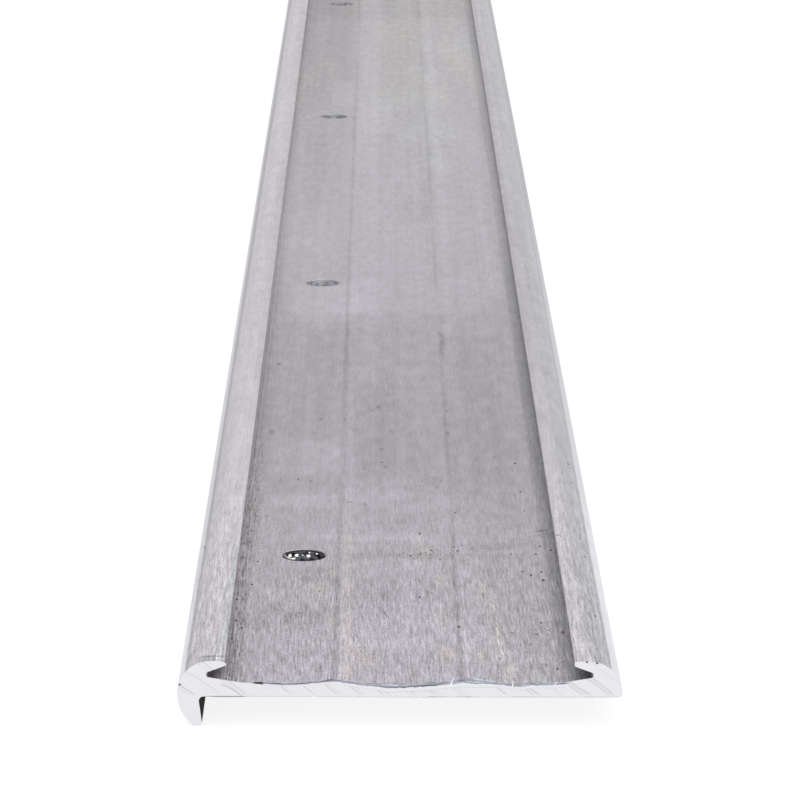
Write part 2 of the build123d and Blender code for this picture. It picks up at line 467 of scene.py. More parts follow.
class MillFinish(Finish):
    """The bar's own finish, from the grain that the die drew to the marks of punch, saw and handling, with
    painted shade and painted highlights.
    """

    def __init__(self, look):
        super().__init__("mill_finish")
        self.look = look
        self.depth = self.along - NEAR_END * MM
        self.side = abs(self.across)
        self.right = self.grade(self.across, -1, 1)
        self.face_x, self.face_y, self.face_z = self.facing()
        from_end = FAR_END * MM - abs(self.along)

        # Grain along the bar, crisper by the handled ends
        width = look.fibre_width * MM
        length = look.fibre_length * MM
        self.wander = self.drawn(5, 14)
        self.ragged = self.drawn(3, 8, 3)
        self.cloud = self.drawn(8, 30, 3, 0.55)
        blotch = self.drawn(1.5, 5, 2, 0.6)
        warped = self.across + self.wander * 0.8
        self.fibre = self.drawn(width, length, 2, 0.65, warped)
        self.fleck = self.drawn(width * 2.2, length * 0.52, 3, 0.6)
        self.dust = self.drawn(width * 0.75, width * 2.5, 1)
        leaning = self.across + self.depth * SCRATCH_SLANT + self.wander * 1.2
        leaning = self.drawn(width, length * 1.3, 2, 0.65, leaning) * self.beyond(70, 25)
        lane = self.drawn(1.2, 60, 2)
        self.crumble = self.fleck * 2.5
        self.die_line = self.drawn(0.36, 260, 4, 0.7)
        crisp = 0.7 + self.grade(from_end, 100, 15) * 1.7
        grain = self.fibre * 0.72 + leaning * 0.42 + self.dust * 0.42 + self.fleck * 0.22
        broad = self.cloud * 0.3 + blotch * 0.42 + lane * 0.22
        self.grain = grain * crisp + self.die_line * 0.22 + broad

        # Zones of the section
        self.upper = self.grade(self.up, WEB_TOP_MM - 0.3, WEB_TOP_MM - 0.1)
        low = self.grade(self.up, 5.45, 5.05)
        self.channel_floor = low * self.upper * self.grade(self.side, 19.9, 19.5)
        self.rim = self.grade(self.side, LIP_MM - 0.05, LIP_MM + 0.1) * self.grade(self.up, 5.6, 6.1)
        self.sawn = self.grade(abs(self.face_y), 0.6, 0.8) * self.grade(from_end, 0.1, 0.05)
        self.outer_edge = 0.78 - self.right * 0.1 + self.beyond(50, 250) * 0.06

        # Grime beside the left lip, and painted shade where the lip shades the groove
        self.close = self.beyond(140, 55)
        self.streak = self.drawn(0.2, 6, 3, 0.75) * (0.25 + self.close * 0.75)
        soft = 0.4 + self.beyond(40, 140) * 0.6
        by_lip = self.within(self.across + self.ragged * 0.5, -19.6, -15.95, soft)
        self.by_left_lip = by_lip * self.channel_floor

    def beyond(self, near, far):
        """0 at one distance from the near end and 1 at another."""
        return self.grade(self.depth, near, far)

    def from_dot(self, x, depth, radius, stretch):
        """How far a place is from the middle of a spot, counted in its radius and squared."""
        beside = apart(self.across, x, radius)
        before = apart(self.depth, depth, radius * stretch)
        return calculate("MULTIPLY_ADD", before, before, beside * beside)

    def dots(self, places, stretch, rough):
        """Rough spots at places across and from the near end, longer along the bar than they are wide."""
        nearest = reduce(least, (self.from_dot(*place, stretch) for place in places))
        return 1 - self.grade(nearest + rough, 0.4, 1.2)

    def scratched(self):
        """How far a place is from the line of the scratches near the sawn end."""
        return self.across - (11.1 - self.depth * SCRATCH_SLANT)

    def web_tone(self):
        """Lines and lanes that the die drew along the web, scratches, and haze where it was handled."""
        whole = self.grade(self.drawn(5, 50), -0.25, 0.1)
        whole = most(whole, self.beyond(80, 50))
        line = self.within(self.side + self.wander * 0.3 + self.right * 0.45, 6.4, 6.85, 0.22) * whole
        warm_lane = self.within(self.across + self.wander * 0.6, -6.1, -2.4, 0.35)
        pale_lane = self.within(self.across + self.wander * 0.6, 7, 8.8, 0.3)
        line = line * (0.15 + self.right * self.beyond(70, 45) * 0.08)
        tone = (warm_lane + pale_lane) * 0.05 - line + self.beyond(185, 245) * 0.09
        bright = self.across + self.wander * 0.15
        pale = self.within(bright, -6.15, -5.9, 0.1) * 0.09 + self.within(bright, 6.7, 6.95, 0.1) * 0.16
        streaks = self.grade(self.drawn(0.25, 9, 2), -0.1, 0.1) * self.within(bright, 6.55, 7.2, 0.15)
        pale = pale + streaks * self.beyond(24, 14) * 0.26
        pale = pale + self.grade(bright, -6.2, -6.1) * self.grade(bright, -4.4, -5.6) * 0.07
        tone = tone + pale * self.beyond(70, 25)
        dull = self.grade(self.across, -4, -10) * 0.22
        dull = dull + self.within(self.across + self.wander, -1.8, 6.2, 0.6) * 0.08
        tone = tone - dull * self.beyond(210, 480)
        wandering = self.across + self.wander * 0.4
        for x, depth, end_x, end_depth, strength in HAIR_SCRATCHES:
            share = apart(self.depth, (depth + end_depth) / 2, (end_depth - depth) / 2)
            beside = calculate("MULTIPLY_ADD", share, (x - end_x) / 2, wandering) - (x + end_x) / 2
            mark = self.grade(abs(beside), 0.09, 0.04) * self.grade(abs(share), 1.24, 0.76)
            tone = calculate("MULTIPLY_ADD", mark, strength, tone)
        uneven = self.ragged * 0.9
        beside = self.across + self.ragged * 1.6
        for middle, reach, low, high, strength in HAZE_MARKS:
            half = (high - low) / 2
            soft = 0.35 + 0.4 / reach
            soft_side = 0.08 + 0.2 / half
            before = abs(apart(self.depth, middle, reach) + uneven)
            mark = self.grade(before, 1 + soft, 1 - soft)
            mark = mark * self.grade(abs(apart(beside, low + half, half)), 1 + soft_side, 1 - soft_side)
            tone = calculate("MULTIPLY_ADD", mark, strength, tone)
        return tone * self.channel_floor

    def web_colour(self):
        """Pinkish grey with bluish haze and yellowish stains, and painted shade beside both lips."""
        look = self.look
        cool = self.grade(self.drawn(16, 70) + self.cloud * 0.5, 0.02, 0.2)
        cool = cool * (0.12 + self.beyond(150, 220) * 0.6)
        smear = self.dots([(8.6, 1.2, 1.3)], 1.2, self.ragged)
        smear = smear + self.dots([(14.2, 1.4, 1)], 1.6, self.ragged)
        cool = most(cool, smear * 0.85)
        colour = self.blend(cool, look.web_colour, look.cool_colour)
        beige = self.grade(self.drawn(5, 60, 3) + self.grade(self.across, -6, -1) * 0.12, 0, 0.16)
        stain = beige * self.beyond(320, 420) * 0.5
        stain = most(stain, self.dots(STAINS, 3, self.crumble * 2) * 0.5)
        smudge = self.dots(SMUDGES, 4, self.ragged) * self.channel_floor * 0.4
        colour = self.blend(smudge, colour, look.grime_colour)
        halo = self.within(self.scratched() + self.ragged, -0.6, 0.7, 0.5)
        halo = halo * self.beyond(42, 30)
        lane = self.within(self.across + self.ragged * 0.6, -6, -5, 0.25)
        lane = lane * self.beyond(80, 55) * (0.6 + self.wander)
        stain = most(stain, halo * 0.3, lane * 0.6)
        stain = stain * self.grade(self.fleck + self.dust * 0.5, -0.2, 0.2)
        colour = self.blend(stain * self.channel_floor, colour, look.warm_colour)
        # Painted shade: a bluish dark band beside the right lip, where the lip shades the groove
        slate_shade = self.grade(self.across + self.ragged * 0.3, 15.9, 17) * self.channel_floor
        colour = self.blend(slate_shade * 0.5, colour, self.tint(look.cool_colour, 0.85))
        # Brownish grime beside the left lip, turning into bluish painted shade further along
        film_and_shade = self.by_left_lip * (0.28 + self.streak * 1.6) * self.beyond(320, 60)
        slate_shade = self.tint(look.cool_colour, 0.6)
        grime_and_shade = self.blend(self.beyond(70, 130), look.grime_colour, slate_shade)
        return self.blend(film_and_shade, colour, grime_and_shade)

    def rims(self, colour):
        """Lighter rims with a greyer back, a bluish band by the left lip and a painted highlight on the
        outer face.
        """
        look = self.look
        back = self.grade(self.across, 18.6, 19.6) * 0.9 + self.grade(self.across, -19.5, -20.5) * 0.5
        streak = self.drawn(0.7, 55, 3)
        rim_colour = self.blend(back + streak * 0.8, look.rim_colour, look.back_colour)
        band = self.within(self.across + self.ragged * 0.4, -18.25, -17.5, 0.15)
        band = band * (0.3 + self.beyond(60, 20) * 0.6)
        rim_colour = self.blend(band, rim_colour, self.tint(look.cool_colour, 1.28))
        colour = self.blend(self.rim, colour, rim_colour)
        # Painted highlight: the outer faces are painted bright for the reflection they show, brightest near
        # the near end and fainter further along, more so on the right
        outer = self.grade(abs(self.face_x) - self.outer_edge, -0.03, 0.03)
        self.outer = outer * self.grade(self.side, 19, 20)
        highlight_fade = 0.8 + self.right * 0.16 - self.beyond(40, 320) * 0.12
        highlight_fade = highlight_fade - self.right * self.beyond(20, 120) * 0.17
        highlight_fade = highlight_fade - self.right * self.beyond(100, 300) * 0.15
        highlight_fade = highlight_fade + (1 - self.right) * self.beyond(40, 5) * 0.12
        return self.blend(self.outer, colour, self.tint(look.highlight_colour, highlight_fade))

    def rim_tone(self):
        """Fine lines along the lips, beside the painted highlights of the outer faces and across the lips'
        ends, and painted shade along the lips' edges.
        """
        left = 1 - self.right
        lines = self.within(self.side, LIP_MM + 0.03, LIP_MM + 0.13, 0.03) * 0.4
        lines = lines + self.within(self.side, LIP_MM + 0.27, LIP_MM + 0.32, 0.03) * 0.12
        beside = self.within(abs(self.face_x) - self.outer_edge, -0.11, -0.05, 0.03)
        beside = beside * self.grade(self.side, 19, 20) * (0.1 + left * 0.12)
        beside = beside * self.beyond(200, 60)
        ring = self.depth + self.ragged * 0.35
        ends = self.within(ring, 1.4, 1.85, 0.1) * self.grade(self.side, 17.45, 17.7) * 0.42
        ends = ends + self.within(ring, 0.05, 0.45, 0.1) * 0.25
        ends = ends * self.grade(self.side, 20.4, 19.6)
        crown = self.within(self.across, 18.9, 20.6, 0.4) * 0.06 + self.right * 0.05
        # Painted shade: the lips' edges are darkened, more further along the bar and on the right
        lip_edge_shade = self.grade(self.side, LIP_MM + 2.6, LIP_MM + 0.2) * self.beyond(30, 220)
        return self.rim * (0 - left * (lines + ends) - beside - crown - lip_edge_shade * (0.16 + self.right * 0.1))

    def scratches(self, colour):
        """Thin pale scratches near the sawn end."""
        beside = self.scratched()
        scratch = self.scatter(self.join(beside / 0.19, self.depth / 4.5, 0), 0.46, 0.8)
        scratch = scratch * self.within(beside + self.ragged * 1.4, -0.45, 0.55, 0.45)
        scratch = scratch * self.within(self.depth + self.ragged * 8, -5, 37, 4) * self.channel_floor
        scratch = scratch * (0.4 + self.beyond(5, 14) * 0.28)
        return self.blend(scratch, colour, self.look.scratch_colour)

    def dirt_and_shade(self):
        """Dirt in the grooves, pits and scratches, with more of it near the lips, and painted shade beside
        the lips and on the leg's inner face.
        """
        far = self.beyond(60, 320)
        by_left_lip = self.by_left_lip
        # Painted shade beside the right lip, where the lip shades the groove, fainter further along
        right_lip_shade = self.grade(self.across, 15.8, 16.5) * self.channel_floor
        lines = self.within(self.across, -17.37, -17.2, 0.04) * 0.25
        lines = lines + self.within(self.across + self.ragged * 0.1, -16.98, -16.68, 0.08) * 0.14
        patchy = self.streak * 1.4 + self.fleck * (0.25 + self.close * 0.75)
        grime_and_shade = by_left_lip * (0.05 + patchy + lines) * (1 - far * 0.55)
        grime_and_shade = grime_and_shade + right_lip_shade * (0.24 + self.streak * 0.9 + self.fleck * 0.4) * (1 - far * 0.5)

        # Pits and specks, and a row of specks across the web
        crowd = self.grade(self.across, 6, 15) * 0.7 + by_left_lip * 0.75 + 0.15
        crowd = crowd * self.grade(abs(self.face_z), 0.3, 0.6)
        crowd = crowd * (0.15 + self.close * 0.85)
        ragged_spot = self.grade(self.fleck + self.dust * 0.6, -0.22, -0.02)
        pit = self.spots(1.7, 5.5, 0.11, 6) * crowd * ragged_spot
        speck = self.spots(0.5, 1.6, 0.2, 6) * crowd * self.grade(self.ragged, -0.07, 0.08) * 0.68
        crumb = self.spots(0.24, 2.2, 0.5, 2) * by_left_lip * self.close * ragged_spot * 0.62
        row = self.depth - self.across * 0.286 + self.wander * 2 + self.ragged * 1.5
        row = self.within(row, 47.5, 49.3, 0.8)
        crowded = self.within(self.across, -0.6, 4.3, 0.6) + self.within(self.across, 4.3, 11.5, 0.8) * 0.4
        row = row * crowded * self.grade(self.drawn(0.3, 0.9, 2, 0.7), 0.02, 0.15) * 0.45
        spots = [row]
        for places, stretch, strength in (
            (PITS, 2.6, 0.88), (FAINT_SPECKS, 4, 0.24), (ROW_SPECKS, 2.6, 0.75),
        ):
            spots.append(self.dots(places, stretch, self.crumble) * strength)
        for x, depth, half_length, slim in CROSS_SCRATCHES:
            spots.append(self.dots([(x, depth, half_length)], slim, self.crumble) * 0.6)
        dirt_and_shade = most(grime_and_shade, most(*spots) * self.upper, pit, speck, crumb)

        # The leg's inner face, painted near black: painted shade in the narrow space under the web
        leg_shade = self.grade(self.face_x, 0.2, 0.6) * self.grade(self.across, -19.2, -19.4)
        leg_shade = leg_shade * self.grade(self.up, WEB_FOOT_MM + 0.1, WEB_FOOT_MM)
        self.leg_shade = leg_shade * (1 - self.sawn)
        return most(dirt_and_shade * (1 - self.sawn), self.leg_shade)

    def hole_edges(self, colour):
        """Rolled edges of the punched holes, with painted shade on their far side where they turn down,
        fainter in the holes further along.
        """
        hole_x = self.across - HOLE_X * MM
        pitch = HOLE_PITCH * MM
        hole_y = (self.along - HOLE_YS[0] * MM + pitch / 2) % pitch - pitch / 2
        from_axis = calculate("SQRT", hole_x * hole_x + hole_y * hole_y)
        rolled_shade = self.grade(from_axis, 2.52, 2.43) * self.grade(self.up, WEB_FOOT_MM, WEB_FOOT_MM + 0.1)
        rolled_shade = rolled_shade * self.grade(hole_y / from_axis, 0.1, 0.6)
        rolled_shade = rolled_shade * (0.95 - self.beyond(100, 150) * 0.75)
        return self.blend(rolled_shade, colour, self.look.dirt_and_shade_colour)

    def rust(self, colour):
        """Rusted specks with dark middles."""
        look = self.look
        speck = self.dots(RUST_SPECKS, 2.6, self.crumble) * self.upper
        colour = self.blend(speck, colour, look.rust_colour)
        cores = [(x + radius * 0.3, depth - radius, radius * 0.75) for x, depth, radius in RUST_SPECKS]
        core = self.dots(cores, 2.6, self.fleck) * self.upper * 0.85
        return self.blend(core, colour, look.dirt_and_shade_colour)

    def sawn_ends(self, colour, rolled_over):
        """Bright sawn faces with pairs of slanting tooth marks and an upper edge rolled over in places."""
        look = self.look
        slant = self.across + self.up * TOOTH_SLANT + self.wander * 1.5
        tooth = slant % TOOTH_PITCH
        marks = self.within(tooth, 0.2, 0.26, 0.05) + self.within(tooth, 0.84, 0.92, 0.05)
        marks = marks * 0.46 + self.within(tooth, 0.2, 0.9, 0.05) * 0.08
        marks = marks * self.grade(self.noise(self.join(slant / 1.7, 3, 0), 1), -0.1, 0.14)
        marks = marks * self.grade(self.up, WEB_FOOT_MM, WEB_FOOT_MM + 0.5)
        run = self.across + 17.8
        bow = self.up - (4.28 - run * 0.3 - run * run * 0.15)
        bow = (self.within(bow, -0.03, 0.04, 0.03) + self.within(bow, 0.14, 0.17, 0.03) * 0.6) * 0.45
        marks = marks + bow * self.within(run, -0.1, 2.2, 0.2)
        hair = self.noise(self.join(slant / 0.12, self.up / 2.5, 2), 2, 0.6)
        edge = self.grade(self.up, WEB_FOOT_MM + 0.1, WEB_FOOT_MM + 0.02)
        edge = edge * (0.22 + self.within(self.across, -19.5, -15.5, 0.4) * 0.4)
        edge = edge * self.grade(self.across, -19.7, -19.3)
        sawn = self.tint(look.sawn_colour, 1 - marks - edge + hair * 0.06)
        for x, up, half_width, half_height in END_NICKS:
            beside = apart(self.across, x, half_width)
            above = apart(self.up, up, half_height)
            nick = self.grade(beside * beside + above * above + hair, 1.1, 0.5)
            nick = nick * self.beyond(1, 0.5)
            sawn = self.blend(nick * 0.85, sawn, look.dirt_and_shade_colour)
        dip = self.within(self.across, -2.4, 0.9, 1.5) * 0.3 + self.within(self.across, 11, 12.4, 0.8) * 0.2
        over = self.grade(self.up + dip + hair * 0.1, WEB_TOP_MM - 0.02, WEB_TOP_MM + 0.02)
        over = over * self.grade(self.side, 14, 13)
        sawn = self.blend(over, sawn, rolled_over)
        return self.blend(self.sawn, colour, sawn)


def mill_finish(look):
    """Mill aluminium as it left the die, the punch and the saw, with painted shade and painted highlights.
    """
    paint = MillFinish(look)
    web = paint.rims(paint.web_colour())
    tone = 1 + paint.grain * (1 - paint.outer * 0.7) + paint.web_tone() + paint.rim_tone()
    web = paint.tint(web, tone)
    # Dirt, and painted shade beside the lips and on the leg's inner face, where the dark colour goes darker
    # still
    dirt_and_shade = paint.dirt_and_shade()
    dirt_and_leg_shade_colour = paint.tint(look.dirt_and_shade_colour, 1 - paint.leg_shade * 0.6)
    colour = paint.blend(dirt_and_shade, paint.scratches(web), dirt_and_leg_shade_colour)
    colour = paint.rust(paint.hole_edges(colour))
    colour = paint.sawn_ends(colour, web)
    relief = paint.fibre * 0.5 + paint.die_line * 0.5
    bump = paint.add("ShaderNodeBump", None, {"Strength": 0.35, "Distance": 0.00003, "Height": relief})
    return paint.finish({
        "Base Color": colour,
        "Metallic": 1 - dirt_and_shade * (0.8 + paint.leg_shade * 0.2),
        "Roughness": look.roughness + paint.cloud * 0.25 + paint.grain * 0.1 + dirt_and_shade * 0.3
        + paint.leg_shade * 0.3 - paint.rim * 0.08,
        "Specular IOR Level": 0.25,
        "Normal": bump,
    })


def smeared_burr(name, lip_colour, crease_shadow_colour, look):
    """Metal that the saw smeared over the edge: bright like the sawn face below, with a tinted lip and
    painted shadow under the lip and in gaps.
    """
    paint = Finish(name)
    rise = paint.add("ShaderNodeAttribute", {"attribute_name": "rise"}, None, "Fac")
    grain = paint.drawn(0.5, 0.5, 3, 0.6)
    patch = paint.drawn(2.5, 2.5, 2)
    layer = paint.noise(paint.join(paint.across / 2.4, rise * 5, 1), 2, 0.6)
    upper = paint.grade(paint.up, WEB_TOP_MM - 0.8, WEB_TOP_MM - 0.5)
    lip = paint.grade(rise + grain * 0.5, 0.02, 0.08)
    # Painted shadow: dark creases under the burr's lip, bands below and above it, and gaps where the burr
    # starts and beside the leg
    crease_shadow = paint.within(rise + grain * 0.5, 0.02, 0.1, 0.04) * paint.grade(patch, -0.05, 0.12) * 0.8
    below = paint.within(rise + grain * 0.3, 0, 0.12, 0.04) * paint.within(paint.across, -1.2, 4.2, 0.7)
    above = paint.within(rise + grain * 0.3, 0.26, 0.42, 0.06) * paint.within(paint.across, -14, -6.2, 0.8)
    crease_shadow = most(crease_shadow, most(below, above) * upper * 0.75)
    gap_shadow = paint.within(paint.across, -14.9, -13.6, 0.3) * upper
    gap_shadow = gap_shadow + paint.within(paint.across, -19.4, -15.6, 0.4) * (1 - upper) * 0.8
    lip_colour = paint.tint(lip_colour, 1 + grain * 1.2 + patch * 0.8 + layer * 2.2)
    colour = paint.blend(lip, look.sawn_colour, lip_colour)
    colour = paint.blend(most(crease_shadow, gap_shadow), colour, crease_shadow_colour)
    bump = paint.add("ShaderNodeBump", None, {"Strength": 0.3, "Distance": 0.00002, "Height": grain})
    return paint.finish({
        "Base Color": colour,
        "Metallic": 1,
        "Roughness": 0.38 + grain * 0.3,
        "Normal": bump,
    })


def bright_sliver(burr):
    """Bright curled metal, still clean."""
    paint = Finish("bright_sliver")
    grain = paint.drawn(0.15, 0.15, 2)
    return paint.finish({
        "Base Color": paint.tint(burr.sliver_colour, 1 + grain * 0.4),
        "Metallic": 1,
        "Roughness": 0.3 + grain * 0.2,
    })


def sheared_wall(look):
    """Wall of a punched hole, painted dark for the shade that it reflects and painted paler in the holes
    further along as painted light; bright where it is torn and stands out.
    """
    paint = Finish("sheared_wall")
    torn = paint.add("ShaderNodeAttribute", {"attribute_name": "torn"}, None, "Fac")
    grain = paint.drawn(0.22, 0.22, 3, 0.6)
    patch = paint.drawn(0.7, 0.7, 1)
    depth = paint.along - NEAR_END * MM
    far = paint.grade(depth, 100, 150)
    tone = most(1 + grain * 2 + patch * 5, 0.05)
    # Painted shade: the wall is painted near black for the dark under the bar that it reflects
    colour = paint.tint(look.hole_wall_shade_colour, tone)
    # Painted light: the walls of the holes further along are painted paler
    deep = paint.grade(depth, 400, 480) * 0.4
    pale = paint.tint(look.highlight_colour, 0.8 - deep * 0.3 + grain * 0.8 + patch * 1.6)
    colour = paint.blend(far * 0.7 + deep * 0.5, colour, pale)
    bare = paint.grade(torn + grain * 0.3, 0.15, 0.4)
    colour = paint.blend(bare, colour, (0.97, 0.97, 0.97))
    bump = paint.add("ShaderNodeBump", None, {"Strength": 0.4, "Distance": 0.00003, "Height": grain})
    return paint.finish({
        "Base Color": colour,
        "Metallic": most(bare, 0.75 - far * 0.5),
        "Roughness": 0.3 + grain * 0.3 - bare * 0.1,
        "Normal": bump,
    })


# Pieces

def geometry_tree(name, inputs):
    """A Geometry Nodes tree with named inputs: the filler, and the inputs as fields by name."""
    tree = bpy.data.node_groups.new(name, "GeometryNodeTree")
    nodes = Nodes(tree)
    tree.interface.new_socket("Geometry", in_out="INPUT", socket_type="NodeSocketGeometry")
    for label, kind in inputs.items():
        tree.interface.new_socket(label, in_out="INPUT", socket_type="NodeSocket" + kind)
    tree.interface.new_socket("Geometry", in_out="OUTPUT", socket_type="NodeSocketGeometry")
    entry = nodes.tree.nodes.new("NodeGroupInput")
    return nodes, {socket.name: Field(socket) for socket in entry.outputs if socket.name}


def close_tree(nodes, shape, material):
    """Ends a tree in plain, smooth geometry with its material."""
    smooth = nodes.add("GeometryNodeSetShadeSmooth", None, {"Geometry": shape})
    plain = nodes.add("GeometryNodeRealizeInstances", None, {"Geometry": smooth})
    done = nodes.add("GeometryNodeSetMaterial", None, {"Geometry": plain, "Material": material})
    nodes.add("NodeGroupOutput", None, {0: done})


def grow(name, tree, points, values, path=False):
    """Runs a tree on points, or on a path through them, and returns a plain mesh at the origin."""
    seed_mesh = bpy.data.meshes.new(name + "_points")
    steps = [(place, place + 1) for place in range(len(points) - 1)] if path else []
    seed_mesh.from_pydata(points, steps, [])
    seed = bpy.data.objects.new(name + "_points", seed_mesh)
    bpy.context.scene.collection.objects.link(seed)
    modifier = seed.modifiers.new("grow", "NODES")
    modifier.node_group = tree
    for item in tree.interface.items_tree:
        if item.in_out == "INPUT" and item.name in values:
            modifier[item.identifier] = values[item.name]
    bpy.context.view_layer.update()
    depsgraph = bpy.context.evaluated_depsgraph_get()
    mesh = bpy.data.meshes.new_from_object(seed.evaluated_get(depsgraph), depsgraph=depsgraph)
    seed.modifiers.clear()
    bpy.data.objects.remove(seed)
    bpy.data.meshes.remove(seed_mesh)
    if not mesh.polygons:
        raise RuntimeError(name + " came out empty")
    mesh.name = name
    piece = bpy.data.objects.new(name, mesh)
    bpy.context.scene.collection.objects.link(piece)
    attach(piece, BODY)
    return piece


# Where a burr is taller or lower: from and to across and the soft edge, in millimetres, and by how much
BURR_SWELLS = ((4.8, 8.8, 1.2, 0.5), (-2, 4, 1, 0.5), (-15.4, -13.4, 0.3, -0.4))


def burr_tree():
    """A ragged upright ribbon of smeared metal along a path, which stores its rise from foot to lip."""
    nodes, given = geometry_tree("saw_burr", {
        "Height": "Float", "Thickness": "Float", "Rag Length": "Float", "Lean": "Float", "Seed": "Float",
        "Material": "Material"})
    line = nodes.add("GeometryNodeMeshToCurve", None, {"Mesh": given["Geometry"]})
    line = nodes.add("GeometryNodeCurveSplineType", {"spline_type": "CATMULL_ROM"}, {"Curve": line})
    line = nodes.add("GeometryNodeResampleCurve", None, {"Curve": line, "Count": 480})
    across = nodes.split(nodes.add("GeometryNodeInputPosition"))[0]
    run = across / given["Rag Length"] + given["Seed"]
    share = nodes.add("GeometryNodeSplineParameter", None, None, "Factor")
    taper = nodes.grade(share, 0, 0.02) * nodes.grade(share, 1, 0.97)
    swell = nodes.noise(nodes.join(run * 0.3, given["Seed"], 0), 2)
    rag = nodes.noise(nodes.join(run, given["Seed"], 4), 3, 0.7)
    tall = 0.95 + swell * 0.8 + rag * 0.9 - nodes.grade(across, -0.005, -0.0085) * 0.3
    for low, high, soft, change in BURR_SWELLS:
        tall = tall + nodes.within(across, low / MM, high / MM, soft / MM) * change
    tall = tall * taper + 0.04
    lean = nodes.noise(nodes.join(run * 0.5, given["Seed"], 9), 3)
    lift = nodes.noise(nodes.join(run * 0.8, given["Seed"], 14), 3, 0.6)
    offset = nodes.join(0, lean * given["Lean"], lift * given["Height"] * 0.25)
    line = nodes.add("GeometryNodeSetPosition", None, {"Geometry": line, "Offset": offset})
    line = nodes.add("GeometryNodeSetCurveNormal", {"mode": "Z_UP"}, {"Curve": line})
    leaf = nodes.add("GeometryNodeCurvePrimitiveCircle", None, {"Resolution": 16, "Radius": 0.5})
    leaf_y = nodes.split(nodes.add("GeometryNodeInputPosition"))[1]
    leaf = nodes.add("GeometryNodeStoreNamedAttribute", {"data_type": "FLOAT", "domain": "POINT"}, {
        "Geometry": leaf, "Name": "rise", "Value": 0 - leaf_y})
    scale = nodes.join(given["Thickness"], given["Height"], 1)
    leaf = nodes.add("GeometryNodeTransform", None, {"Geometry": leaf, "Scale": scale})
    ribbon = nodes.add("GeometryNodeCurveToMesh", None, {
        "Curve": line, "Profile Curve": leaf, "Scale": tall, "Fill Caps": True})
    close_tree(nodes, ribbon, given["Material"])
    return nodes.tree


def sliver_tree():
    """Thin curled slivers that stand on points of the sawn edge."""
    nodes, given = geometry_tree("slivers", {
        "Length": "Float", "Seed": "Int", "Material": "Material"})
    bow = nodes.add("GeometryNodeCurveQuadraticBezier", None, {
        "Resolution": 10,
        "Start": (0, 0, 0),
        "Middle": (0.08, -0.12, 0.5),
        "End": (0.3, -0.2, 1)})
    share = nodes.add("GeometryNodeSplineParameter", None, None, "Factor")
    ring = nodes.add("GeometryNodeCurvePrimitiveCircle", None, {"Resolution": 8, "Radius": 0.13})
    sliver = nodes.add("GeometryNodeCurveToMesh", None, {
        "Curve": bow, "Profile Curve": ring, "Scale": 1 - share * 0.65, "Fill Caps": True})
    turn = nodes.add("FunctionNodeRandomValue", {"data_type": "FLOAT_VECTOR"}, {
        "Min": (-0.1, -0.2, -0.3), "Max": (0.1, 0.1, 0.3), "Seed": given["Seed"]})
    size = 1 - nodes.add("GeometryNodeInputIndex") * 0.2
    stand = nodes.add("GeometryNodeInstanceOnPoints", None, {
        "Points": given["Geometry"], "Instance": sliver, "Rotation": turn, "Scale": size * given["Length"]})
    close_tree(nodes, stand, given["Material"])
    return nodes.tree


# Torn ledges on the near hole's far wall: across from the hole's middle, up, half width and height, in mm
NEAR_HOLE_LEDGES = (
    (-1.6, 3.99, 0.23, 0.33), (-0.87, 3.89, 0.28, 0.27), (0.45, 3.78, 0.27, 0.28), (0.57, 4.17, 0.11, 0.15),
    (1.42, 4.16, 0.14, 0.14), (-0.2, 3.87, 0.07, 0.1),
)


def ledge_slope(nodes, step):
    """How far a ledge stands out: most at its lip, step 0, then less and less up to its top, step 1."""
    out = least(most(1 - step, 0), 1)
    return out * nodes.grade(step, -0.25, 0)


